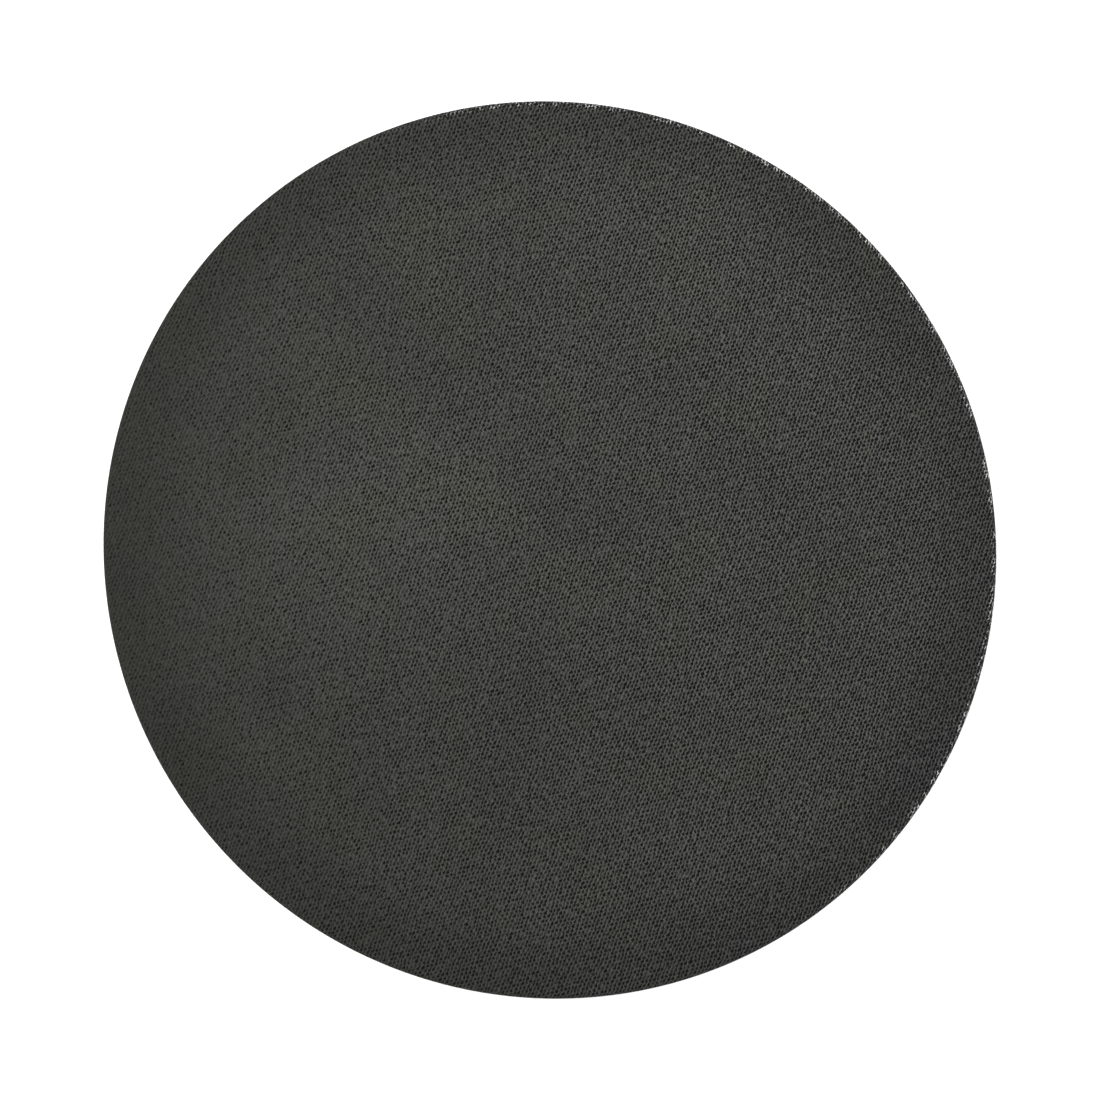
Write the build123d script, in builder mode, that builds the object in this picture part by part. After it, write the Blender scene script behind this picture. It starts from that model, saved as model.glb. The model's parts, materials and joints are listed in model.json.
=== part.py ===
from build123d import *
import math
import os

# Collapsible backdrop panel, lying on its back with the backdrop face up.
# Millimetres, +Z up, origin at the centre of the footprint on the table.

# Overall
panel_diameter = 300.0
strip_count = 7  # the flexing panel is cut into this many parallel strips
strip_gap = 0.3  # clear slit between two strips

# Cloths and tapes
cloth_thickness = 0.5
turn_in = 16.0  # width of front cloth that is turned in behind the rim
binding_thickness = 0.4
binding_width = 9.0
binding_inset = 4.0  # from the rim to the outer edge of the binding
rear_cloth_inset = 1.0  # the binding covers the rear cloth's edge by this much
casing_wall = 0.3
casing_bore_width = 2.8

# Spring-steel hoop and the joint that closes it
band_height = 3.2
band_thickness = 0.6
band_end_gap = 0.8
ferrule_length = 24.0
ferrule_wall = 0.3
shrink_sleeve_length = 32.0
shrink_sleeve_wall = 0.15
rivet_diameter = 1.2
rivet_spacing = 6.0
rivet_edge = 2.6  # from the end of the ferrule to its outer rivet

# Lockstitch rows through the binding
thread_thickness = 0.3
groove_side = 0.05
stitch_margin = 1.4  # from each edge of the binding

# Clearances
layer_gap = 0.05
casing_gap = 0.1
metal_fit = 0.02

# Heights, from the table up
rear_cloth_low = binding_thickness + layer_gap
front_cloth_low = rear_cloth_low + cloth_thickness + layer_gap
casing_skin = cloth_thickness + casing_gap
ferrule_skin = metal_fit + ferrule_wall
shrink_skin = ferrule_skin + metal_fit
casing_bore_height = band_height + 2 * (shrink_skin + shrink_sleeve_wall + casing_gap)
rim_height = casing_bore_height + 2 * (casing_wall + casing_skin)
rim_width = casing_bore_width + 2 * (casing_wall + casing_skin)
rim_middle = front_cloth_low + rim_height / 2
panel_height = front_cloth_low + rim_height

# Radii
panel_radius = panel_diameter / 2
hoop_radius = panel_radius - rim_width / 2
turn_in_radius = panel_radius - turn_in
binding_outer = panel_radius - binding_inset
binding_inner = binding_outer - binding_width
rear_cloth_radius = binding_outer - rear_cloth_inset
stitch_radii = (binding_inner + stitch_margin, binding_outer - stitch_margin)

# Strips side by side along X: 0 in the middle, negative to the left
side_strips = strip_count // 2
strip_width = panel_diameter / strip_count
strip_places = range(-side_strips, side_strips + 1)


def strip_name(place):
    if place == 0:
        return "middle"
    side = "left" if place < 0 else "right"
    return f"{side}_{abs(place)}"


def strip_span(place):
    """X limits of a strip. The outermost two run on past the rim."""
    low = (place - 0.5) * strip_width + strip_gap / 2
    high = (place + 0.5) * strip_width - strip_gap / 2
    if place == strip_places[0]:
        low -= strip_width
    if place == strip_places[-1]:
        high += strip_width
    return low, high


def section(width, height, radius, low, mode=Mode.ADD):
    """A rectangle in the open rim sketch: its middle radius and its lower edge place it."""
    with Locations((radius, low + height / 2)):
        Rectangle(width, height, mode=mode)


def rim_slot(skin, mode=Mode.ADD):
    """The round-ended slot of the rim in the open sketch, this far inside its outer surface."""
    with Locations((hoop_radius, rim_middle)):
        SlotCenterToCenter(rim_height - rim_width, rim_width - 2 * skin, rotation=90, mode=mode)


def wrap_section(skin, mode=Mode.ADD):
    """The band's section grown by a skin, in the open sketch, with corners rounded to suit."""
    with Locations((hoop_radius, rim_middle)):
        RectangleRounded(band_thickness + 2 * skin, band_height + 2 * skin, skin, mode=mode)


def rim_plane(angle):
    """Upright plane through the panel's axis: sketch X points outwards at this angle, sketch Y up."""
    turn = math.radians(angle)
    outward = Vector(math.cos(turn), math.sin(turn), 0)
    return Plane(origin=(0, 0, 0), x_dir=outward, z_dir=outward.cross(Vector(0, 0, 1)))


# Rivets go through the band and the ferrule, two each side of the band's open ends
rivet_offsets = []
for side in (-1, 1):
    for step in (0, 1):
        rivet_offsets.append(side * (ferrule_length / 2 - rivet_edge - step * rivet_spacing))
rivet_planes = []
for offset in rivet_offsets:
    turn = math.radians(-90) + offset / hoop_radius
    outward = Vector(math.cos(turn), math.sin(turn), 0)
    rivet_planes.append(Plane(outward * hoop_radius + Vector(0, 0, rim_middle), z_dir=outward))


# Front cloth: the face, the roll round the rim and the margin turned in behind it
with BuildPart() as front_cloth:
    with BuildSketch(Plane.XZ):
        rim_slot(0)
        rim_slot(cloth_thickness, mode=Mode.SUBTRACT)
        section(hoop_radius, 2 * rim_height, hoop_radius / 2, 0, mode=Mode.SUBTRACT)
        section(hoop_radius, cloth_thickness, hoop_radius / 2, panel_height - cloth_thickness)
        turn_in_width = hoop_radius - turn_in_radius
        section(turn_in_width, cloth_thickness, hoop_radius - turn_in_width / 2, front_cloth_low)
    revolve(axis=Axis.Z)

# Rear cloth: a plain disc under the turned-in margin
with BuildPart() as rear_cloth:
    with BuildSketch(Plane.XY.offset(rear_cloth_low)):
        Circle(rear_cloth_radius)
    extrude(amount=cloth_thickness)

# Edge binding: flat tape over the rear cloth's edge, grooved where the stitches sink in
with BuildPart() as edge_binding:
    with BuildSketch(Plane.XZ):
        section(binding_width, binding_thickness, binding_outer - binding_width / 2, 0)
        groove = thread_thickness + 2 * groove_side
        for stitch_radius in stitch_radii:
            section(groove, thread_thickness + groove_side, stitch_radius, 0, mode=Mode.SUBTRACT)
    revolve(axis=Axis.Z)

# Seam thread: two rows of lockstitch, flush with the underside of the binding
with BuildPart() as seam_thread:
    with BuildSketch(Plane.XZ):
        for stitch_radius in stitch_radii:
            section(thread_thickness, thread_thickness, stitch_radius, 0)
    revolve(axis=Axis.Z)

# Casing tape: folded round the hoop, with its two edges together in the rear seam
with BuildPart() as casing_tape:
    with BuildSketch(Plane.XZ):
        rim_slot(casing_skin)
        rim_slot(casing_skin + casing_wall, mode=Mode.SUBTRACT)
        flange_width = hoop_radius - binding_inner
        flange_low = front_cloth_low + casing_skin
        section(flange_width, casing_wall, hoop_radius - flange_width / 2, flange_low)
    revolve(axis=Axis.Z)

# Hoop band: flat spring steel standing on edge, with open ends inside the ferrule
with BuildPart() as hoop_band:
    with BuildSketch(Plane.XZ):
        section(band_thickness, band_height, hoop_radius, rim_middle - band_height / 2)
    revolve(axis=Axis.Z)
    with Locations((0, -hoop_radius, rim_middle)):
        Box(band_end_gap, 4 * band_thickness, 2 * band_height, mode=Mode.SUBTRACT)
    for rivet_plane in rivet_planes:
        with Locations(rivet_plane):
            Cylinder(rivet_diameter / 2, 4 * band_thickness, mode=Mode.SUBTRACT)

# Ferrule: flat steel tube crimped and riveted over the two ends of the band
ferrule_arc = math.degrees(ferrule_length / hoop_radius)
with BuildPart() as hoop_ferrule:
    with BuildSketch(rim_plane(-90 - ferrule_arc / 2)):
        wrap_section(ferrule_skin)
        wrap_section(metal_fit, mode=Mode.SUBTRACT)
    revolve(axis=Axis.Z, revolution_arc=ferrule_arc)
    for rivet_plane in rivet_planes:
        with Locations(rivet_plane):
            Cylinder(rivet_diameter / 2, 4 * band_thickness, mode=Mode.SUBTRACT)

# Rivets: flush with the ferrule's two faces
rivet_length = band_thickness + 2 * (ferrule_skin - metal_fit)
with BuildPart() as hoop_rivets:
    for rivet_plane in rivet_planes:
        with Locations(rivet_plane):
            Cylinder(rivet_diameter / 2 - metal_fit, rivet_length)

# Shrink sleeve: soft tube over the ferrule, so that its ends don't wear the casing
shrink_arc = math.degrees(shrink_sleeve_length / hoop_radius)
with BuildPart() as shrink_sleeve:
    with BuildSketch(rim_plane(-90 - shrink_arc / 2)):
        wrap_section(shrink_skin + shrink_sleeve_wall)
        wrap_section(shrink_skin, mode=Mode.SUBTRACT)
    revolve(axis=Axis.Z, revolution_arc=shrink_arc)

os.makedirs("parts", exist_ok=True)

# The joint lies whole in the middle strip
for name, joint_part in (
    ("hoop_ferrule", hoop_ferrule),
    ("hoop_rivets", hoop_rivets),
    ("shrink_sleeve", shrink_sleeve),
):
    joint_part.part.label = name
    export_step(joint_part.part, f"parts/{name}.step")

# Every layer is cut where the strips meet
layers = {
    "front_cloth": front_cloth,
    "rear_cloth": rear_cloth,
    "edge_binding": edge_binding,
    "seam_thread": seam_thread,
    "casing_tape": casing_tape,
    "hoop_band": hoop_band,
}
for place in strip_places:
    low, high = strip_span(place)
    for layer_name, layer in layers.items():
        with BuildPart() as strip_piece:
            add(layer.part)
            with Locations(((low + high) / 2, 0, 0)):
                Box(high - low, 2 * panel_diameter, 4 * panel_height, mode=Mode.INTERSECT)
        name = f"{layer_name}_{strip_name(place)}"
        strip_piece.part.label = name
        export_step(strip_piece.part, f"parts/{name}.step")
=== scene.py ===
import json
import math
import bpy
from mathutils import Matrix, Vector, noise


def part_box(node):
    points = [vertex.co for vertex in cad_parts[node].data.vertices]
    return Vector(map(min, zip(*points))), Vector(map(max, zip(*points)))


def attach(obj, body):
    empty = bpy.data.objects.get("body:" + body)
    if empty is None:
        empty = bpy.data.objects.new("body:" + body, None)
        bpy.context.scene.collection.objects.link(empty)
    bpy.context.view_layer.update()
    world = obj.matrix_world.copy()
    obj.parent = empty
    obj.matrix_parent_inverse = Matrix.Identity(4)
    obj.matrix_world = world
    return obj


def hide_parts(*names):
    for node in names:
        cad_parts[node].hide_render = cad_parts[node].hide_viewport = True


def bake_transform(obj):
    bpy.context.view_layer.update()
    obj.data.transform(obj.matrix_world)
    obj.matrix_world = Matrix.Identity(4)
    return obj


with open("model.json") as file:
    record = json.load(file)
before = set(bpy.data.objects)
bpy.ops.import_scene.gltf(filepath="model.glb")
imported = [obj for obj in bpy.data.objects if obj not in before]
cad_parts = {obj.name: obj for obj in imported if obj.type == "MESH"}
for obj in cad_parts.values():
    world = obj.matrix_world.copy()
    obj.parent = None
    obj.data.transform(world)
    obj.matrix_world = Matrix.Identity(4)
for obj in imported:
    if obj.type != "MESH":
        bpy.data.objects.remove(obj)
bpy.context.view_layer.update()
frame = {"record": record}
mm = 0.001


# Sizes that the CAD frame gives
def boxOf(node):
    low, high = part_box(node)
    return Vector(low), Vector(high)


clothLow, clothHigh = boxOf("front_cloth_middle")
casingLow, casingHigh = boxOf("casing_tape_middle")
bandLow, bandHigh = boxOf("hoop_band_middle")
rearHigh = boxOf("rear_cloth_middle")[1]
bindingLow, bindingHigh = boxOf("edge_binding_middle")
panelRadius = clothHigh.y
faceHeight = clothHigh.z
rimBottom = clothLow.z
rimMiddle = (faceHeight + rimBottom) / 2
firstHinge = frame["record"]["behaviour"]["joints"][0]["pos_m"]
stripWidth = 2 * abs(firstHinge[0])
sideStrips = 3
bandHalfWidth = 0.3 * mm  # the frame's boxes don't show it
bandMiddle = bandHigh.y - bandHalfWidth
bandCentre = (bandLow.z + bandHigh.z) / 2


def stripBody(place):
    if place == 0:
        return "strip_middle"
    return f"strip_{'left' if place < 0 else 'right'}_{abs(place)}"


# A zone runs from the middle line of one strip to the middle line of the next,
# so its piece spans the hinge between them
zoneNames = {-3: "LeftOuter", -2: "LeftMiddle", -1: "LeftInner", 0: "RightInner", 1: "RightMiddle", 2: "RightOuter"}


def nodesOfZone(zone, layerNode):
    places = {-3: [-3], -2: [-2], -1: [-1, 0], 0: [0, 1], 1: [2], 2: [3]}[zone]
    return [layerNode + stripBody(place).replace("strip", "") for place in places]


# ---- small helpers
def deselectAll():
    if bpy.context.mode != "OBJECT":
        bpy.ops.object.mode_set(mode="OBJECT")
    bpy.ops.object.select_all(action="DESELECT")


def pick(piece):
    deselectAll()
    piece.select_set(True)
    bpy.context.view_layer.objects.active = piece


def inEditMode(piece, work, selectAll=True):
    pick(piece)
    bpy.ops.object.mode_set(mode="EDIT")
    if selectAll:
        bpy.ops.mesh.select_all(action="SELECT")
    work()
    bpy.ops.mesh.select_mode(type="VERT")
    bpy.ops.object.mode_set(mode="OBJECT")


def smoothStep(low, high, value):
    t = min(max((value - low) / (high - low), 0), 1)
    return t * t * (3 - 2 * t)


def turned(name, profile, sectors, closed=False, startAngle=0.0, sweep=2 * math.pi):
    # a circle is bent to the profile in the XZ plane and spun about Z
    bpy.ops.mesh.primitive_circle_add(vertices=len(profile), radius=1)
    piece = bpy.context.object
    piece.name = piece.data.name = name
    for vertex, (radius, height) in zip(piece.data.vertices, profile):
        vertex.co = (radius * math.cos(startAngle), radius * math.sin(startAngle), height)
    if not closed:
        pick(piece)
        bpy.ops.object.mode_set(mode="EDIT")
        bpy.ops.mesh.select_mode(type="EDGE")
        bpy.ops.mesh.select_all(action="DESELECT")
        bpy.ops.object.mode_set(mode="OBJECT")
        for edge in piece.data.edges:
            edge.select = set(edge.vertices) == {0, len(profile) - 1}
        inEditMode(piece, lambda: bpy.ops.mesh.delete(type="EDGE"), selectAll=False)

    def spinRound():
        bpy.ops.mesh.spin(steps=sectors, angle=-sweep, center=(0, 0, 0), axis=(0, 0, 1))
        bpy.ops.mesh.select_all(action="SELECT")
        bpy.ops.mesh.remove_doubles(threshold=1e-6)
        if closed:
            bpy.ops.mesh.fill_holes(sides=0)
        bpy.ops.mesh.normals_make_consistent(inside=False)

    inEditMode(piece, spinRound)
    return piece


def faceUp(piece):
    # the highest face has to look up
    top = max(piece.data.polygons, key=lambda face: face.center.z)
    if top.normal.z < 0:
        inEditMode(piece, lambda: bpy.ops.mesh.flip_normals())


def planUv(piece, place):
    # place gives the flat cloth position of a point, in metres
    layer = piece.data.uv_layers.new(name="cutPlan")
    points = [place(vertex.co) for vertex in piece.data.vertices]
    for loop in piece.data.loops:
        layer.data[loop.index].uv = points[loop.vertex_index]


def ringUv(piece, radius, across):
    # along the ring and across the profile, unbroken over the turn of the circle
    layer = piece.data.uv_layers.new(name="cutPlan")
    vertices = piece.data.vertices
    for face in piece.data.polygons:
        middle = math.atan2(face.center.y, face.center.x)
        for index in face.loop_indices:
            point = vertices[piece.data.loops[index].vertex_index].co
            turn = math.atan2(point.y, point.x) - middle
            turn = (turn + math.pi) % (2 * math.pi) - math.pi
            layer.data[index].uv = (radius * (middle + turn), across(point))


def thicken(piece, thickness, offset=-1.0):
    pick(piece)
    wall = piece.modifiers.new("wall", "SOLIDIFY")
    wall.thickness = thickness
    wall.offset = offset
    wall.use_even_offset = True
    bpy.ops.object.modifier_apply(modifier=wall.name)


def smooth(piece, angle=40):
    pick(piece)
    bpy.ops.object.shade_smooth_by_angle(angle=math.radians(angle))


def bendOver(part, zone, layerNode):
    start, end = (zone * stripWidth, 0, faceHeight), ((zone + 1) * stripWidth, 0, faceHeight)
    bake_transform(part)
    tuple(start)
    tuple(end)
    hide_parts(*nodesOfZone(zone, layerNode))


def splitIntoZones(whole, stem, layerNode, finish, declare=None):
    # cuts a finished layer at the strips' middle lines into one part for each zone
    for zone, zoneName in zoneNames.items():
        part = whole.copy()
        part.data = whole.data.copy()
        part.name = part.data.name = stem + zoneName
        bpy.context.collection.objects.link(part)
        low, high = zone * stripWidth, (zone + 1) * stripWidth

        def trim():
            for edge, keepAbove, wanted in ((low, True, zone > -sideStrips), (high, False, zone < sideStrips - 1)):
                if wanted:
                    bpy.ops.mesh.select_all(action="SELECT")
                    bpy.ops.mesh.bisect(plane_co=(edge, 0, 0), plane_no=(1, 0, 0), use_fill=True,
                                        clear_inner=keepAbove, clear_outer=not keepAbove, threshold=1e-6)

        inEditMode(part, trim)
        smooth(part)
        part.data.materials.clear()
        part.data.materials.append(finish)
        bendOver(part, zone, layerNode)
        if declare:
            declare(part, zone)
    bpy.data.objects.remove(whole)


def stripArea(radius, low, high):
    # area of a disc between two parallel chords
    def half(x):
        x = max(-radius, min(radius, x))
        return x * math.sqrt(radius * radius - x * x) + radius * radius * math.asin(x / radius)
    return half(high) - half(low)


def declareCloth(flatRadius):
    def declare(part, zone):
        near = min(abs(zone), abs(zone + 1)) * stripWidth
        far = flatRadius if zone in (-sideStrips, sideStrips - 1) else near + stripWidth
        far - near
        2 * math.sqrt(flatRadius**2 - near**2)
        stripArea(flatRadius, near, far)
    return declare


# ---- materials
class Wire:
    # a socket that sums and products can be written with
    def __init__(self, finish, socket):
        self.finish = finish
        self.socket = socket

    def math(self, operation, *others):
        values = dict(enumerate((self, *others)))
        return self.finish.node("ShaderNodeMath", {"operation": operation}, values)

    def __add__(self, other):
        return self.math("ADD", other)

    def __sub__(self, other):
        return self.math("SUBTRACT", other)

    def __rsub__(self, other):
        return self.finish.node("ShaderNodeMath", {"operation": "SUBTRACT"}, {0: other, 1: self})

    def __mul__(self, other):
        return self.math("MULTIPLY", other)

    def wave(self):
        return (self * (2 * math.pi)).math("COSINE")

    def clamp(self):
        return self.math("MAXIMUM", 0.0).math("MINIMUM", 1.0)

    def above(self, start, steepness):
        return ((self - start) * steepness).clamp()


class Finish:
    # one node material, made from a name and the shader's fixed values
    def __init__(self, name, fixed):
        self.material = bpy.data.materials.new(name)
        self.material.use_nodes = True
        self.tree = self.material.node_tree
        self.shader = self.tree.nodes["Principled BSDF"]
        for socket, value in fixed.items():
            self.shader.inputs[socket].default_value = value

    def node(self, kind, settings, sockets, output=0):
        made = self.tree.nodes.new(kind)
        for key, value in settings.items():
            setattr(made, key, value)
        for key, value in sockets.items():
            if isinstance(value, Wire):
                self.tree.links.new(value.socket, made.inputs[key])
            else:
                made.inputs[key].default_value = value
        return Wire(self, made.outputs[output])

    def plan(self):
        place = self.node("ShaderNodeUVMap", {"uv_map": "cutPlan"}, {})
        along = self.node("ShaderNodeSeparateXYZ", {}, {0: place}, 0)
        across = Wire(self, along.socket.node.outputs[1])
        return place, along * 1000.0, across * 1000.0

    def cloud(self, place, scale, detail=2.0, roughness=0.5):
        return self.node("ShaderNodeTexNoise", {}, {"Vector": place, "Scale": scale, "Detail": detail,
                                                    "Roughness": roughness})

    def step(self, value, low, high):
        return self.node("ShaderNodeMapRange", {"interpolation_type": "SMOOTHSTEP"}, {0: value, 1: low, 2: high})

    def blendColours(self, factor, first, second):
        return self.node("ShaderNodeMix", {"data_type": "RGBA"}, {0: factor, 6: first, 7: second}, 2)

    def connect(self, **sockets):
        for key, value in sockets.items():
            self.tree.links.new(value.socket, self.shader.inputs[key.replace("_", " ")])
        return self.material

    def bump(self, height, distance):
        return self.node("ShaderNodeBump", {}, {"Height": height, "Distance": distance, "Strength": 1.0})


ribCloth = {
    "ribPitch": 1.160,  # millimetres across the ribs
    "stitchPitch": 1.575,  # along a rib
    "ribNormalAngle": -21.2,  # degrees from +X
    "stitchAngle": 69.9,
    "zigzag": 0.22,  # of a rib's pitch
    "driftScale": 120.0,
    "flutterScale": 520.0,
    "slowDrift": 1.5,
    "quickDrift": 0.72,
    "stitchDrift": (0.9, 1.0),  # slow and quick
    "zigzagPhase": 0.25,
    "grainScale": 780.0,
    "ribRise": 0.58,
    "holeDepth": (0.06, 0.62),  # least, and what chance adds
    "grainRise": 1.75,
    "surfaceLift": 0.31,
    "rakingLightContrast": (0.90, 0.60),  # in the middle, and what painted raking light adds at the right edge
    "coverMiddle": 0.42,
    "coverContrast": 1.50,
    "coverLift": 0.45,
    "coverGain": 0.62,
    "dark": (0.0015, 0.0015, 0.0016, 1),
    "rib": (0.0800, 0.0803, 0.0778, 1),
    "olive": (0.0850, 0.0862, 0.0705, 1),
    # colour of the painted highlights on the ribs in the glint band at the rim
    "speck": (0.40, 0.41, 0.40, 1),
    "bumpDistance": 0.00026,
    "mottleScale": 34.0,
    "mottleContrast": 3.4,
    "mottleDrop": 1.2,
    "mottleRight": 0.25,
    "shadeScale": 26.0,
    "shadeRange": (0.78, 0.42),  # least, and what the clouds add
    "faceLight": (0.80, 0.13),  # painted light, the face lighter towards +Y: in the middle, and what the far edge adds
    "rimShadeBand": (0.78, 0.97),  # of the radius, where painted shade darkens the face towards the rim
    "rimPaintedShade": 0.25,
    "rightSide": (0.1, 1.0),  # of the radius, where painted shade darkens the right side
    "rightPaintedShade": 0.14,
    "lightPoolPlace": (-62.0, 6.0),  # millimetres, the centre of a painted pool of light
    "lightPoolReach": 75.0,
    "lightPoolLift": 0.24,
    "glintSide": 28.0,  # degrees: the side of the rim where highlights are painted and the fibres are glossier
    "glintBand": (147.6, 148.4, 150.2, 151.2),  # millimetres along the cloth: start, full, full, end
    "glintReach": (0.02, 0.5),  # of the radius, towards the glint side
    # painted shade between the painted highlights in the glint band
    "glintBandShade": 0.20,
    "speckChance": (0.58, 5.0),  # where it starts, and how steeply it rises
    "speckRib": (0.45, 4.0),
    "speckGrain": (0.40, 5.0),
    "speckShine": 0.8,
    "rough": (0.88, 0.12, 0.2),  # in a hole, less on a rib, less in the glint band
}


def ribClothFinish():
    finish = Finish("ribbedBackdropCloth", {"Specular IOR Level": 0.06, "Coat Roughness": 0.34})
    place, x, y = finish.plan()
    normalTurn = math.radians(ribCloth["ribNormalAngle"])
    stitchTurn = math.radians(ribCloth["stitchAngle"])
    drift = finish.cloud(place, ribCloth["driftScale"], 2.0) - 0.5
    flutter = finish.cloud(place, ribCloth["flutterScale"], 2.0, 0.6) - 0.5
    ribs = (x * math.cos(normalTurn) + y * math.sin(normalTurn)) * (1 / ribCloth["ribPitch"])
    stitches = (x * math.cos(stitchTurn) + y * math.sin(stitchTurn)) * (1 / ribCloth["stitchPitch"])
    ribs = ribs + drift * ribCloth["slowDrift"] + flutter * ribCloth["quickDrift"]
    slow, quick = ribCloth["stitchDrift"]
    stitches = stitches + drift * slow + flutter * quick
    ribs = ribs + (ribs * 0.5).wave() * (stitches - ribCloth["zigzagPhase"]).wave() * ribCloth["zigzag"]
    ribTop = ribs.wave() * 0.5 + 0.5

    # every hole between two ribs has its own depth, and every second row is shifted by half a stitch
    row = ribs.math("FLOOR")
    shifted = (1.0 - row.math("FLOORED_MODULO", 2.0)) * 0.5
    hole = (1.0 - ribTop) * (0.5 - (stitches + shifted).wave() * (-0.5))
    cell = finish.node("ShaderNodeCombineXYZ", {}, {0: row, 1: (stitches + shifted + 0.5).math("FLOOR")})
    chance = finish.node("ShaderNodeTexWhiteNoise", {"noise_dimensions": "2D"}, {"Vector": cell})
    grain = finish.cloud(place, ribCloth["grainScale"], 3.0, 0.7)
    radius = (x * x + y * y).math("SQRT")
    across = x * (mm / panelRadius)
    leastDepth, chanceDepth = ribCloth["holeDepth"]
    height = (ribTop * ribCloth["ribRise"] - hole * (chance * chanceDepth + leastDepth)
              + (grain - 0.5) * ribCloth["grainRise"] + ribCloth["surfaceLift"])
    # the weave's contrast painted weaker to the left and stronger to the right, standing in for raking light from the
    # right
    middleWeaveContrast, rightRakingGain = ribCloth["rakingLightContrast"]
    rakingLightContrast = across * rightRakingGain + middleWeaveContrast
    cover = (height - ribCloth["coverMiddle"]) * rakingLightContrast * ribCloth["coverContrast"] + ribCloth["coverLift"]
    cover = (cover * ribCloth["coverGain"]).clamp()

    # slow changes of tint and tone over the face, with painted shade and painted light
    mottle = finish.cloud(place, ribCloth["mottleScale"], 4.0, 0.62) * ribCloth["mottleContrast"]
    mottle = (mottle - ribCloth["mottleDrop"] - across * ribCloth["mottleRight"]).clamp()
    leastShade, cloudShade = ribCloth["shadeRange"]
    shade = finish.cloud(place, ribCloth["shadeScale"], 4.0, 0.6) * cloudShade + leastShade
    # painted shade: the face darker towards the rim
    low, high = ribCloth["rimShadeBand"]
    edge = finish.step(radius, low * panelRadius / mm, high * panelRadius / mm)
    # painted light: the face lighter towards +Y, darker towards -Y
    middleLight, farLight = ribCloth["faceLight"]
    shade = shade * (1.0 - edge * ribCloth["rimPaintedShade"]) * (y * (farLight * mm / panelRadius) + middleLight)
    # painted shade: the right side of the face darker
    shade = shade * (1.0 - finish.step(across, *ribCloth["rightSide"]) * ribCloth["rightPaintedShade"])
    # painted light: a lighter patch on the left of the face
    lightPoolX, lightPoolY = ribCloth["lightPoolPlace"]
    away = ((x - lightPoolX).math("POWER", 2.0) + (y - lightPoolY).math("POWER", 2.0)).math("SQRT")
    lightPool = 1.0 - finish.step(away, 0.0, ribCloth["lightPoolReach"])
    shade = shade * (lightPool * ribCloth["lightPoolLift"] + 1.0)
    tinted = finish.blendColours(mottle, ribCloth["rib"], ribCloth["olive"])
    tinted = finish.blendColours(shade.clamp(), ribCloth["dark"], tinted)

    # a band round the rim on one side, where the knit is glossier, pale specks on the ribs are painted highlights and
    # painted shade darkens the holes between them
    side = math.radians(ribCloth["glintSide"])
    facing = (x * math.cos(side) + y * math.sin(side)) * (mm / panelRadius)
    start, full, fullEnd, end = ribCloth["glintBand"]
    # the mask named worn marks the glint band
    worn = finish.step(radius, start, full) * (1.0 - finish.step(radius, fullEnd, end))
    worn = worn * finish.step(facing, *ribCloth["glintReach"])
    # painted shade: the cover darkened in the glint band
    cover = (cover - worn * ribCloth["glintBandShade"]).clamp()
    colour = finish.blendColours(cover, ribCloth["dark"], tinted)
    speckle = chance.above(*ribCloth["speckChance"]) * ribTop.above(*ribCloth["speckRib"]) * worn
    speckle = speckle * grain.above(*ribCloth["speckGrain"])
    # painted highlights: pale specks on the ribs in the glint band
    colour = finish.blendColours(speckle, colour, ribCloth["speck"])
    holeRough, ribLess, glintBandLess = ribCloth["rough"]
    rough = holeRough - ribTop * ribLess - worn * glintBandLess
    normal = finish.bump(height, ribCloth["bumpDistance"])
    return finish.connect(Base_Color=colour, Roughness=rough, Coat_Weight=speckle * ribCloth["speckShine"],
                          Normal=normal)


rearCloth = {
    "thickness": 0.5 * mm,
    "sectors": 320,
    "rings": 48,
    "threadPitch": 0.62,  # millimetres, plain weave
    "warp": (0.0200, 0.0200, 0.0195, 1),
    "weft": (0.0130, 0.0130, 0.0128, 1),
    "gap": (0.0022, 0.0022, 0.0022, 1),
    "waveHeight": 0.11 * mm,
    "waveLength": 38 * mm,
    "looseBand": (22 * mm, 4 * mm),  # inside the binding: loose, held
}


plainWeave = {
    "flutterScale": 380.0,
    "flutter": 0.5,  # of a thread
    "fibreScale": 1900.0,
    "threadRise": 0.8,
    "fibreRise": 0.3,
    "cloudScale": 16.0,
    "cloudRange": (0.75, 0.5),  # least, and what the clouds add
    "contrast": 1.15,
    "rough": (0.92, 0.12),  # in a gap, and less on a thread
    "bumpDistance": 0.00012,
}


def plainClothFinish(name, pitch, warpColour, weftColour, gapColour):
    # plain weave: warp and weft threads over and under each other
    finish = Finish(name, {"Specular IOR Level": 0.12})
    place, x, y = finish.plan()
    flutter = finish.cloud(place, plainWeave["flutterScale"], 2.0) - 0.5
    warp = x * (1 / pitch) + flutter * plainWeave["flutter"]
    weft = y * (1 / pitch) + flutter * plainWeave["flutter"]
    over = (warp * 0.5).wave() * (weft * 0.5).wave() * 0.5 + 0.5
    warpTop = (warp - 0.5).wave() * 0.5 + 0.5
    weftTop = (weft - 0.5).wave() * 0.5 + 0.5
    height = (warpTop * over).math("MAXIMUM", weftTop * (1.0 - over))
    fibre = finish.cloud(place, plainWeave["fibreScale"], 2.0, 0.6)
    height = height * plainWeave["threadRise"] + fibre * plainWeave["fibreRise"]
    thread = finish.blendColours(over, weftColour, warpColour)
    leastCloud, cloudAdds = plainWeave["cloudRange"]
    cloudy = finish.cloud(place, plainWeave["cloudScale"], 3.0) * cloudAdds + leastCloud
    colour = finish.blendColours((height * cloudy * plainWeave["contrast"]).clamp(), gapColour, thread)
    gapRough, threadLess = plainWeave["rough"]
    normal = finish.bump(height, plainWeave["bumpDistance"])
    return finish.connect(Base_Color=colour, Roughness=gapRough - height * threadLess, Normal=normal)


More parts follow.
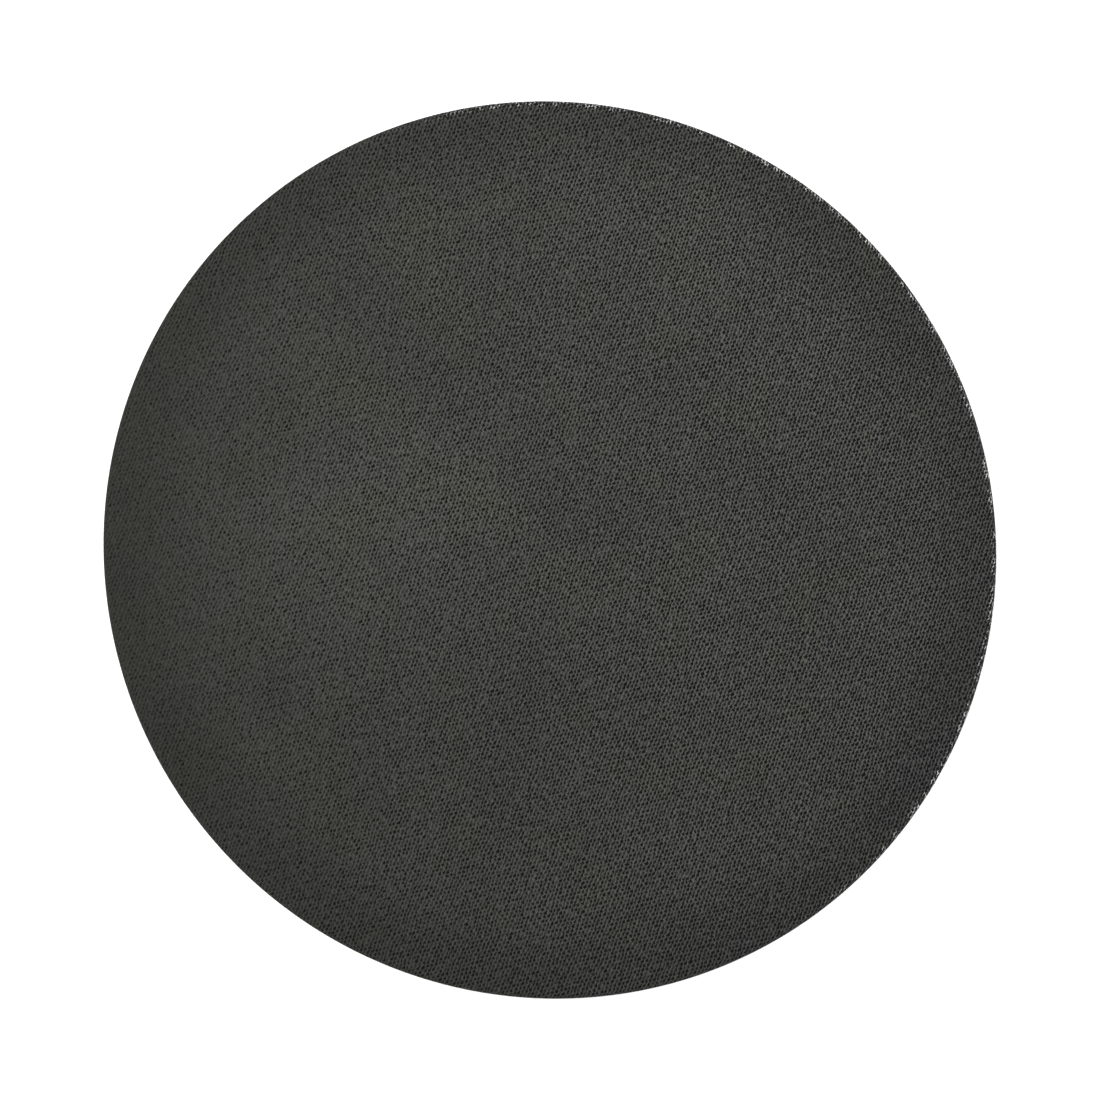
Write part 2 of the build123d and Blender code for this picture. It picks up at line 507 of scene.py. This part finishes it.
edgeBinding = {
    "width": 9 * mm,
    "sectors": 480,
    "twillPitch": 0.75,  # millimetres along the tape
    "blockWidth": 1.5,  # half of a herringbone across the tape
    "pickPitch": 0.36,
    "diagonal": 0.8,
    "flutter": (0.35, 0.4),  # of the twill and of the picks
    "bumpDistance": 0.00010,
    "edgeRound": 0.14 * mm,
    "edgeLow": 0.04 * mm,
    "edgeFlat": 0.5 * mm,
    "topRound": 0.10 * mm,
    "topShoulder": 0.08 * mm,
    "grooveSide": 0.10 * mm,
    "grooveDepth": 0.20 * mm,
    "light": (0.0170, 0.0170, 0.0168, 1),
    "dark": (0.0035, 0.0035, 0.0036, 1),
}


def tapeFinish(name, pitch, block, light, dark):
    # herringbone tape: diagonals that turn back at every block
    finish = Finish(name, {"Specular IOR Level": 0.15})
    place, along, across = finish.plan()
    zigzag = (across * (1 / block)).math("PINGPONG", 1.0) * (block / pitch * edgeBinding["diagonal"])
    flutter = finish.cloud(place, 420.0, 2.0) - 0.5
    twillFlutter, pickFlutter = edgeBinding["flutter"]
    twill = (along * (1 / pitch) + zigzag + flutter * twillFlutter).wave() * 0.5 + 0.5
    picks = (across * (1 / edgeBinding["pickPitch"]) + flutter * pickFlutter).wave() * 0.5 + 0.5
    height = twill * 0.75 + picks * twill * 0.25
    worn = finish.cloud(place, 60.0, 3.0) * 0.5 + 0.75
    colour = finish.blendColours((height * worn * 1.1).clamp(), dark, light)
    normal = finish.bump(height, edgeBinding["bumpDistance"])
    return finish.connect(Base_Color=colour, Roughness=0.9 - twill * 0.15, Normal=normal)


seamThread = {
    "rows": (1.4 * mm, 7.6 * mm),  # from the binding's inner edge
    "stitchLength": 2.55 * mm,
    "stitchPitch": 2.95 * mm,
    "thickness": 0.30 * mm,
    "dip": 0.10 * mm,  # the ends sink into the cloth
    "slant": 4.0,  # degrees off the row
    "plyPitch": 0.55,
    "ringPlaces": (-0.8, -0.45, 0.0, 0.45, 0.8),  # of half a stitch
    "endNarrower": 0.5,
    "endThinner": 0.45,
    "light": (0.046, 0.046, 0.045, 1),
    "dark": (0.012, 0.012, 0.012, 1),
}


def threadFinish():
    # three plies twisted round each other
    finish = Finish("twistedThread", {"Specular IOR Level": 0.35})
    place, along, around = finish.plan()
    plies = (along * (1 / seamThread["plyPitch"]) + around * (3 / (math.pi * 0.30))).wave() * 0.5 + 0.5
    fuzz = finish.cloud(place, 2600.0, 2.0)
    colour = finish.blendColours((plies * 0.8 + fuzz * 0.3).clamp(), seamThread["dark"], seamThread["light"])
    normal = finish.bump(plies + fuzz * 0.4, 0.00005)
    return finish.connect(Base_Color=colour, Roughness=0.62 - plies * 0.15, Normal=normal)


def steelFinish(name, light, dark, brushScale, roughness):
    # rolled or plated steel with long fine scratches and faint stains
    finish = Finish(name, {"Metallic": 1.0})
    spot = finish.node("ShaderNodeTexCoord", {}, {}, 3)
    stretch = finish.node("ShaderNodeMapping", {}, {"Vector": spot, "Scale": (1.0, 1.0, brushScale)})
    brushed = finish.cloud(stretch, 260.0, 4.0, 0.7)
    stain = finish.cloud(spot, 90.0, 3.0)
    colour = finish.blendColours((stain * 1.6 - 0.3).clamp(), dark, light)
    rough = brushed * 0.25 + stain * 0.12 + roughness
    normal = finish.bump(brushed, 0.00002)
    return finish.connect(Base_Color=colour, Roughness=rough, Normal=normal)


def shrinkFinish():
    # soft tube, drawn tight, with fine wrinkles round it
    finish = Finish("shrinkTube", {"Specular IOR Level": 0.4})
    spot = finish.node("ShaderNodeTexCoord", {}, {}, 3)
    stretch = finish.node("ShaderNodeMapping", {}, {"Vector": spot, "Scale": (3.0, 1.0, 1.0)})
    wrinkle = finish.cloud(stretch, 420.0, 3.0)
    colour = finish.blendColours(wrinkle, (0.008, 0.008, 0.008, 1), (0.022, 0.022, 0.022, 1))
    normal = finish.bump(wrinkle, 0.00004)
    return finish.connect(Base_Color=colour, Roughness=wrinkle * 0.2 + 0.42, Normal=normal)


print("materials ready")


# ---- front cloth: face, roll round the rim and the margin turned in behind it
frontCloth = {
    "thickness": 0.5 * mm,
    "rollRadius": 2.3 * mm,
    "turnIn": 16 * mm,
    "sectors": 504,
    "faceRings": 52,
    "rollSteps": 9,
    "marginRings": 5,
    "waveHeight": 0.16 * mm,  # slow waves of the taut face
    "waveLength": 55 * mm,
    "sag": 0.25 * mm,
    "puckerHeight": 0.10 * mm,  # gathers where the margin turns under
    "puckerLength": 7 * mm,
    "tautBand": 18 * mm,  # inside the hoop
    "puckerBand": (6 * mm, 3 * mm),  # inside the rim: start, full
}


def frontClothProfile():
    roll, steps = frontCloth["rollRadius"], frontCloth["rollSteps"]
    hoop = panelRadius - roll
    rings = frontCloth["faceRings"]
    points = [(hoop * ring / rings, faceHeight) for ring in range(rings)]
    for step in range(steps + 1):
        turn = math.pi / 2 * (1 - step / steps)
        points.append((hoop + roll * math.cos(turn), faceHeight - roll + roll * math.sin(turn)))
    for step in range(steps + 1):
        turn = -math.pi / 2 * step / steps
        points.append((hoop + roll * math.cos(turn), rimBottom + roll + roll * math.sin(turn)))
    inner = panelRadius - frontCloth["turnIn"]
    marginRings = frontCloth["marginRings"]
    for step in range(1, marginRings + 1):
        points.append((hoop + (inner - hoop) * step / marginRings, rimBottom))
    return points


def lengthsAlong(profile):
    # total length of the profile, and a lookup from a point on it to the length up to there
    corners = []
    total = 0.0
    for (r0, z0), (r1, z1) in zip([profile[0]] + profile, profile):
        total += math.hypot(r1 - r0, z1 - z0)
        corners.append((r1, z1, total))
    found = {}

    def lengthOf(point):
        key = round(point.xy.length, 6), round(point.z, 6)
        if key not in found:
            found[key] = min(corners, key=lambda corner: math.hypot(corner[0] - key[0], corner[1] - key[1]))[2]
        return found[key]

    return total, lengthOf


def layFlat(piece, profile):
    # cutting-plan coordinates of a round cloth
    total, lengthOf = lengthsAlong(profile)

    def place(point):
        turn = math.atan2(point.y, point.x)
        return lengthOf(point) * math.cos(turn), lengthOf(point) * math.sin(turn)

    planUv(piece, place)
    return total


def makeFrontCloth():
    profile = frontClothProfile()
    cloth = turned("frontCloth", profile, frontCloth["sectors"])
    faceUp(cloth)
    flatRadius = layFlat(cloth, profile)
    hoop = panelRadius - frontCloth["rollRadius"]
    for vertex in cloth.data.vertices:
        point = vertex.co
        radius = point.xy.length
        if point.z > faceHeight - 1e-6 and radius < hoop:
            spot = Vector((point.x, point.y, 0)) / frontCloth["waveLength"]
            taut = 1 - smoothStep(hoop - frontCloth["tautBand"], hoop, radius)
            wave = noise.noise(spot + Vector((3.1, 7.7, 0))) + 0.4 * noise.noise(spot * 2.3 + Vector((9.0, 1.0, 4.0)))
            point.z += taut * frontCloth["waveHeight"] * wave - frontCloth["sag"] * (1 - (radius / hoop) ** 2)
        elif point.z < rimMiddle:
            spot = Vector((point.x, point.y, 0)) / frontCloth["puckerLength"]
            under = 1 - smoothStep(rimBottom, rimMiddle, point.z)
            start, full = frontCloth["puckerBand"]
            gathered = smoothStep(panelRadius - start, panelRadius - full, radius)
            point.z -= frontCloth["puckerHeight"] * under * gathered * (0.5 + noise.noise(spot))
    thicken(cloth, frontCloth["thickness"])
    return cloth, flatRadius


cloth, clothFlatRadius = makeFrontCloth()
splitIntoZones(cloth, "frontCloth", "front_cloth", ribClothFinish(),
               declareCloth(clothFlatRadius))
print("front cloth ready")


# ---- rear cloth: a plain disc with its raw edge under the binding
def makeRearCloth():
    edge = rearHigh.y
    rings = rearCloth["rings"]
    profile = [(edge * ring / rings, rearHigh.z) for ring in range(rings + 1)]
    cloth = turned("rearCloth", profile, rearCloth["sectors"])
    faceUp(cloth)
    layFlat(cloth, profile)
    for vertex in cloth.data.vertices:
        point = vertex.co
        spot = Vector((point.x, point.y, 0)) / rearCloth["waveLength"]
        loosePlace, heldPlace = rearCloth["looseBand"]
        loose = 1 - smoothStep(bindingInner - loosePlace, bindingInner - heldPlace, point.xy.length)
        point.z += loose * rearCloth["waveHeight"] * (noise.noise(spot + Vector((5.0, 2.0, 1.0))) - 0.6)
    thicken(cloth, rearCloth["thickness"])
    return cloth, edge


bindingInner = bindingHigh.y - edgeBinding["width"]
backCloth, backFlatRadius = makeRearCloth()
splitIntoZones(backCloth, "rearCloth", "rear_cloth",
               plainClothFinish("plainRearCloth", rearCloth["threadPitch"], rearCloth["warp"], rearCloth["weft"],
                                rearCloth["gap"]),
               declareCloth(backFlatRadius))
print("rear cloth ready")


# ---- edge binding: tape with rounded edges, drawn in along both stitch rows
def stitchRows():
    return [bindingInner + row for row in seamThread["rows"]]


def makeEdgeBinding():
    low, high = bindingLow.z, bindingHigh.z
    inner, outer = bindingInner, bindingHigh.y
    half, deep = seamThread["thickness"] / 2 + edgeBinding["grooveSide"], edgeBinding["grooveDepth"]
    bend, lift, flat = edgeBinding["edgeRound"], edgeBinding["edgeLow"], edgeBinding["edgeFlat"]
    corner, shoulder = edgeBinding["topRound"], (low + high) / 2 + edgeBinding["topShoulder"]
    profile = [(inner + corner, high), (inner, shoulder), (inner, low + bend),
               (inner + bend, low + lift), (inner + flat, low)]
    for radius in stitchRows():
        profile += [(radius - 2.2 * half, low), (radius - 1.2 * half, low + 0.2 * deep),
                    (radius - 0.5 * half, low + deep), (radius + 0.5 * half, low + deep),
                    (radius + 1.2 * half, low + 0.2 * deep), (radius + 2.2 * half, low)]
    profile += [(outer - flat, low), (outer - bend, low + lift), (outer, low + bend),
                (outer, shoulder), (outer - corner, high)]
    tape = turned("edgeBinding", profile, edgeBinding["sectors"], closed=True)
    ringUv(tape, (inner + outer) / 2, lambda point: point.xy.length)
    return tape


splitIntoZones(makeEdgeBinding(), "edgeBinding", "edge_binding",
               tapeFinish("herringboneTape", edgeBinding["twillPitch"], edgeBinding["blockWidth"],
                          edgeBinding["light"], edgeBinding["dark"]))
print("edge binding ready")


# ---- seam: small separate lockstitches in two rows
def makeStitch():
    bpy.ops.mesh.primitive_cylinder_add(vertices=6, radius=seamThread["thickness"] / 2,
                                        depth=seamThread["stitchLength"], rotation=(math.pi / 2, 0, 0))
    stitch = bpy.context.object
    bpy.ops.object.transform_apply(location=False, rotation=True, scale=False)
    stitch.data.uv_layers[0].name = "cutPlan"
    half = seamThread["stitchLength"] / 2

    def cutRings():
        for share in seamThread["ringPlaces"]:
            bpy.ops.mesh.select_all(action="SELECT")
            bpy.ops.mesh.bisect(plane_co=(0, half * share, 0), plane_no=(0, 1, 0))

    inEditMode(stitch, cutRings)
    layer = stitch.data.uv_layers["cutPlan"]
    for loop in stitch.data.loops:
        point = stitch.data.vertices[loop.vertex_index].co
        layer.data[loop.index].uv = (point.y, math.atan2(point.z, point.x) * seamThread["thickness"] / 2)
    for vertex in stitch.data.vertices:
        share = abs(vertex.co.y) / half
        vertex.co.x *= 1 - seamThread["endNarrower"] * share**3
        vertex.co.z = vertex.co.z * (1 - seamThread["endThinner"] * share**3) + seamThread["dip"] * share**3
    return stitch


def layStitches():
    # stitches are gathered zone by zone, then each zone's stitches are joined
    pattern = makeStitch()
    laid = {zone: [] for zone in zoneNames}
    for radius in stitchRows():
        count = round(2 * math.pi * radius / seamThread["stitchPitch"])
        for index in range(count):
            turn = 2 * math.pi * (index + 0.5) / count
            x, y = radius * math.cos(turn), radius * math.sin(turn)
            stitch = pattern.copy()
            stitch.data = pattern.data.copy()
            bpy.context.collection.objects.link(stitch)
            slant = math.radians(seamThread["slant"]) * (1 + 0.5 * math.sin(index * 2.3))
            place = Matrix.Translation((x, y, bindingLow.z + seamThread["thickness"] / 2))
            stitch.data.transform(place @ Matrix.Rotation(turn + slant, 4, "Z"))
            zone = max(-sideStrips, min(sideStrips - 1, math.floor(x / stripWidth)))
            laid[zone].append(stitch)
    bpy.data.objects.remove(pattern)
    return laid


threadLook = threadFinish()
for zone, stitches in layStitches().items():
    deselectAll()
    for stitch in stitches:
        stitch.select_set(True)
    bpy.context.view_layer.objects.active = stitches[0]
    bpy.ops.object.join()
    row = bpy.context.object
    row.name = row.data.name = "seamThread" + zoneNames[zone]
    smooth(row, 60)
    row.data.materials.clear()
    row.data.materials.append(threadLook)
    bendOver(row, zone, "seam_thread")
print("seam ready")


# ---- casing: tape folded round the hoop, its two edges lying together in the seam
casing = {
    "wall": 0.3 * mm,
    "sectors": 320,
    "cornerSteps": 8,
    "flangeRings": 5,
    "flangeBend": 0.7 * mm,
    "slack": 0.02 * mm,
    "threadPitch": 0.5,
    "light": (0.0150, 0.0150, 0.0150, 1),
    "dark": (0.0030, 0.0030, 0.0030, 1),
}


def makeCasing():
    half, wall, steps = casingHigh.y - bandMiddle, casing["wall"], casing["cornerSteps"]
    low, high = casingLow.z, casingHigh.z
    edge = bindingInner + casing["slack"]
    fold = 2 * wall + casing["slack"]  # the second edge lies on the first
    rings = casing["flangeRings"]
    outline = [(edge + (bandMiddle - edge) * step / rings, low) for step in range(rings)]
    for step in range(steps + 1):
        turn = -math.pi / 2 * (1 - step / steps)
        outline.append((bandMiddle + half * math.cos(turn), low + half + half * math.sin(turn)))
    for step in range(2 * steps + 1):
        turn = math.pi * step / (2 * steps)
        outline.append((bandMiddle + half * math.cos(turn), high - half + half * math.sin(turn)))
    outline.append((bandMiddle - half, low + half))
    bend = casing["flangeBend"]
    for step in range(steps + 1):
        turn = math.pi / 2 * step / steps
        outline.append((bandMiddle - half - bend + bend * math.cos(turn), low + fold + bend - bend * math.sin(turn)))
    outline.append((edge, low + fold))
    tape = turned("casingTape", outline, casing["sectors"])
    faceUp(tape)
    ringUv(tape, bandMiddle, lengthsAlong(outline)[1])
    thicken(tape, wall)
    return tape


splitIntoZones(makeCasing(), "casingTape", "casing_tape",
               plainClothFinish("casingWeave", casing["threadPitch"], casing["light"], casing["light"], casing["dark"]))
print("casing ready")


# ---- hoop: spring-steel band with rolled edges, its two ends meeting inside the ferrule
hoopJoint = {
    "endGap": 0.8 * mm,
    "bandSectors": 360,
    "tubeSectors": 96,
    "edgeRadius": 0.22 * mm,
    "ferruleWall": 0.30 * mm,
    "fit": 0.02 * mm,
    "crimps": (-9.5 * mm, -6.0 * mm, -1.9 * mm, 1.9 * mm, 6.0 * mm, 9.5 * mm),
    "crimpDepth": 0.05 * mm,
    "crimpWidth": 0.7 * mm,
    "rivetHeadRadius": 0.58 * mm,
    "rivetSpacing": 6 * mm,  # as in the CAD
    "rivetShoulder": -0.02 * mm,  # against the ferrule's face
    "rivetChamfer": 0.16 * mm,
    "rivetDomeWidth": 0.20 * mm,
    "rivetDomeRise": 0.03 * mm,
    "sleeveTaper": (0.04 * mm, 14 * mm, 16 * mm),  # depth, start and end along the hoop
    "sleeveRipple": (0.006 * mm, 5.1),  # depth, radians per millimetre
}


def roundedLoop(halfWidth, halfHeight, corner, steps=5):
    # upright loop about the hoop line
    points = []
    for quarter, (right, up) in enumerate(((1, 1), (-1, 1), (-1, -1), (1, -1))):
        for step in range(steps):
            turn = math.pi / 2 * (quarter + step / (steps - 1))
            points.append((bandMiddle + right * (halfWidth - corner) + corner * math.cos(turn),
                           bandCentre + up * (halfHeight - corner) + corner * math.sin(turn)))
    return points


def makeHoopBand():
    gapTurn = hoopJoint["endGap"] / bandMiddle
    section = roundedLoop(bandHalfWidth, (bandHigh.z - bandLow.z) / 2, hoopJoint["edgeRadius"])
    band = turned("hoopBand", section, hoopJoint["bandSectors"], True,
                  -math.pi / 2 + gapTurn / 2, 2 * math.pi - gapTurn)
    ringUv(band, bandMiddle, lambda point: point.z)
    return band


def wrapTube(name, skin, length, wall, shape):
    # tube round the band, shape tells how far its skin is drawn in at a place along it
    corner = skin
    half = (bandHigh.z - bandLow.z) / 2 + skin
    loop = roundedLoop(bandHalfWidth + skin, half, corner)
    turn = length / bandMiddle
    tube = turned(name, loop, hoopJoint["tubeSectors"], True, -math.pi / 2 - turn / 2, turn)
    inEditMode(tube, openEnds)
    for vertex in tube.data.vertices:
        point = vertex.co
        along = (math.atan2(point.y, point.x) + math.pi / 2) * bandMiddle
        out = point.xy.length - bandMiddle
        up = point.z - bandCentre
        drawn = shape(along)
        radius = bandMiddle + out - math.copysign(drawn, out)
        point.z -= math.copysign(drawn, up) * smoothStep(0, half * 0.6, abs(up))
        point.xy = point.xy.normalized() * radius
    ringUv(tube, bandMiddle, lambda point: point.z + point.xy.length)
    thicken(tube, wall)
    smooth(tube, 35)
    return tube


def openEnds():
    # the two end caps go, the tube's wall closes them later
    bpy.ops.mesh.select_all(action="DESELECT")
    bpy.ops.mesh.select_face_by_sides(number=4, type="GREATER")
    bpy.ops.mesh.delete(type="FACE")


def crimped(along):
    return max(hoopJoint["crimpDepth"] * math.exp(-((along - crimp) / hoopJoint["crimpWidth"]) ** 2)
               for crimp in hoopJoint["crimps"])


def drawnTight(along):
    depth, start, end = hoopJoint["sleeveTaper"]
    ripple, turns = hoopJoint["sleeveRipple"]
    return depth * smoothStep(start, end, abs(along)) + ripple * math.sin(along / mm * turns)


def finishRigid(piece, node, finish):
    piece.data.materials.clear()
    piece.data.materials.append(finish)
    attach(piece, "strip_middle")
    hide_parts(node)


def makeRivets():
    # one domed rivet, copied to the four places and joined
    span = ferruleHalfWidth + hoopJoint["rivetShoulder"]
    bpy.ops.mesh.primitive_cylinder_add(vertices=32, radius=hoopJoint["rivetHeadRadius"], depth=2 * span,
                                        rotation=(math.pi / 2, 0, 0))
    rivet = bpy.context.object
    bpy.ops.object.transform_apply(location=False, rotation=True, scale=False)

    def domeHeads():
        bpy.ops.mesh.select_all(action="DESELECT")
        bpy.ops.mesh.select_face_by_sides(number=4, type="GREATER")
        bpy.ops.mesh.inset(thickness=hoopJoint["rivetChamfer"], depth=0.0)
        bpy.ops.mesh.inset(thickness=hoopJoint["rivetDomeWidth"], depth=hoopJoint["rivetDomeRise"])

    inEditMode(rivet, domeHeads)
    copies = []
    for offset in rivetOffsets:
        turn = offset / bandMiddle
        one = rivet.copy()
        one.data = rivet.data.copy()
        bpy.context.collection.objects.link(one)
        centre = Matrix.Rotation(turn, 4, "Z") @ Matrix.Translation((0, -bandMiddle, bandCentre))
        one.data.transform(centre)
        copies.append(one)
    bpy.data.objects.remove(rivet)
    deselectAll()
    for one in copies:
        one.select_set(True)
    bpy.context.view_layer.objects.active = copies[0]
    bpy.ops.object.join()
    joined = bpy.context.object
    joined.name = joined.data.name = "hoopRivets"
    smooth(joined, 35)
    return joined


ferruleLow, ferruleHigh = boxOf("hoop_ferrule")
sleeveLow, sleeveHigh = boxOf("shrink_sleeve")
rivetsHigh = boxOf("hoop_rivets")[1]
ferruleHalfWidth = bandHalfWidth + hoopJoint["fit"] + hoopJoint["ferruleWall"]
sleeveSkin = (sleeveHigh.z - sleeveLow.z) / 2 - (bandHigh.z - bandLow.z) / 2
sleeveWall = (sleeveHigh.z - ferruleHigh.z) - hoopJoint["fit"]
outerRivet = rivetsHigh.x - hoopJoint["rivetHeadRadius"]
innerRivet = outerRivet - hoopJoint["rivetSpacing"]
rivetOffsets = (-outerRivet, -innerRivet, innerRivet, outerRivet)

splitIntoZones(makeHoopBand(), "hoopBand", "hoop_band",
               steelFinish("bluedSpringSteel", (0.30, 0.32, 0.36, 1), (0.10, 0.11, 0.14, 1), 14.0, 0.28))
finishRigid(wrapTube("hoopFerrule", ferruleHalfWidth - bandHalfWidth, ferruleHigh.x - ferruleLow.x,
                     hoopJoint["ferruleWall"], crimped),
            "hoop_ferrule",
            steelFinish("platedFerrule", (0.62, 0.61, 0.58, 1), (0.40, 0.39, 0.36, 1), 3.0, 0.30))
finishRigid(makeRivets(), "hoop_rivets",
            steelFinish("rivetSteel", (0.55, 0.55, 0.55, 1), (0.33, 0.33, 0.33, 1), 2.0, 0.26))
finishRigid(wrapTube("shrinkSleeve", sleeveSkin, sleeveHigh.x - sleeveLow.x, sleeveWall, drawnTight),
            "shrink_sleeve", shrinkFinish())
print("hoop ready")


# ---- camera, leaning a little to the lower left
viewpoint = {
    "tilt": 9.95,  # degrees from straight above
    "towards": 215.3,  # the side that it leans to, from +X
    "distance": 1.254,
    "lens": 123.64,
    "aim": (-0.0028, -0.0020, 0.0),
}


def placeCamera():
    tilt, towards = math.radians(viewpoint["tilt"]), math.radians(viewpoint["towards"])
    outward = Vector((math.sin(tilt) * math.cos(towards), math.sin(tilt) * math.sin(towards), math.cos(tilt)))
    aim = Vector(viewpoint["aim"]) + Vector((0, 0, faceHeight))
    right = Vector((0, 1, 0)).cross(outward).normalized()
    up = outward.cross(right)
    data = bpy.data.cameras.new("studioCamera")
    data.lens = viewpoint["lens"]
    data.clip_start = 0.01
    camera = bpy.data.objects.new("studioCamera", data)
    bpy.context.collection.objects.link(camera)
    turn = Matrix((right, up, outward)).transposed()
    camera.matrix_world = Matrix.Translation(aim + outward * viewpoint["distance"]) @ turn.to_4x4()
    bpy.context.scene.camera = camera


placeCamera()


# ---- floor and light
studio = {
    "floorSize": 8.0,
    "floorDrop": 0.0002,
    "floorColour": (0.86, 0.86, 0.86, 1),
    "ambient": 1.12,
    "keyPower": 29.0,
    "keySize": 1.3,
    "keyPlace": (-0.55, -0.15, 1.35),
    "sidePower": 9.0,
    "sideSize": 0.5,
    "sidePlace": (0.85, 0.55, 0.30),
}


def areaLight(name, place, size, power):
    data = bpy.data.lights.new(name, "AREA")
    data.shape = "SQUARE"
    data.size = size
    data.energy = power
    lamp = bpy.data.objects.new(name, data)
    lamp.location = place
    lamp.rotation_euler = (-Vector(place)).to_track_quat("-Z", "Y").to_euler()
    bpy.context.collection.objects.link(lamp)
    return lamp


def makeStudio():
    deselectAll()
    bpy.ops.mesh.primitive_plane_add(size=studio["floorSize"], location=(0, 0, -studio["floorDrop"]))
    floor = bpy.context.object
    floor.name = "studioFloor"
    paint = Finish("paleFloor", {"Roughness": 0.9, "Specular IOR Level": 0.1})
    paint.shader.inputs["Base Color"].default_value = studio["floorColour"]
    floor.data.materials.append(paint.material)
    world = bpy.data.worlds.new("studioWorld")
    world.use_nodes = True
    backdrop = world.node_tree.nodes["Background"]
    backdrop.inputs["Color"].default_value = (1, 1, 1, 1)
    backdrop.inputs["Strength"].default_value = studio["ambient"]
    bpy.context.scene.world = world
    areaLight("keyLight", studio["keyPlace"], studio["keySize"], studio["keyPower"])
    areaLight("sideLight", studio["sidePlace"], studio["sideSize"], studio["sidePower"])
    bpy.context.scene.view_settings.view_transform = "Standard"


makeStudio()
print("studio ready")
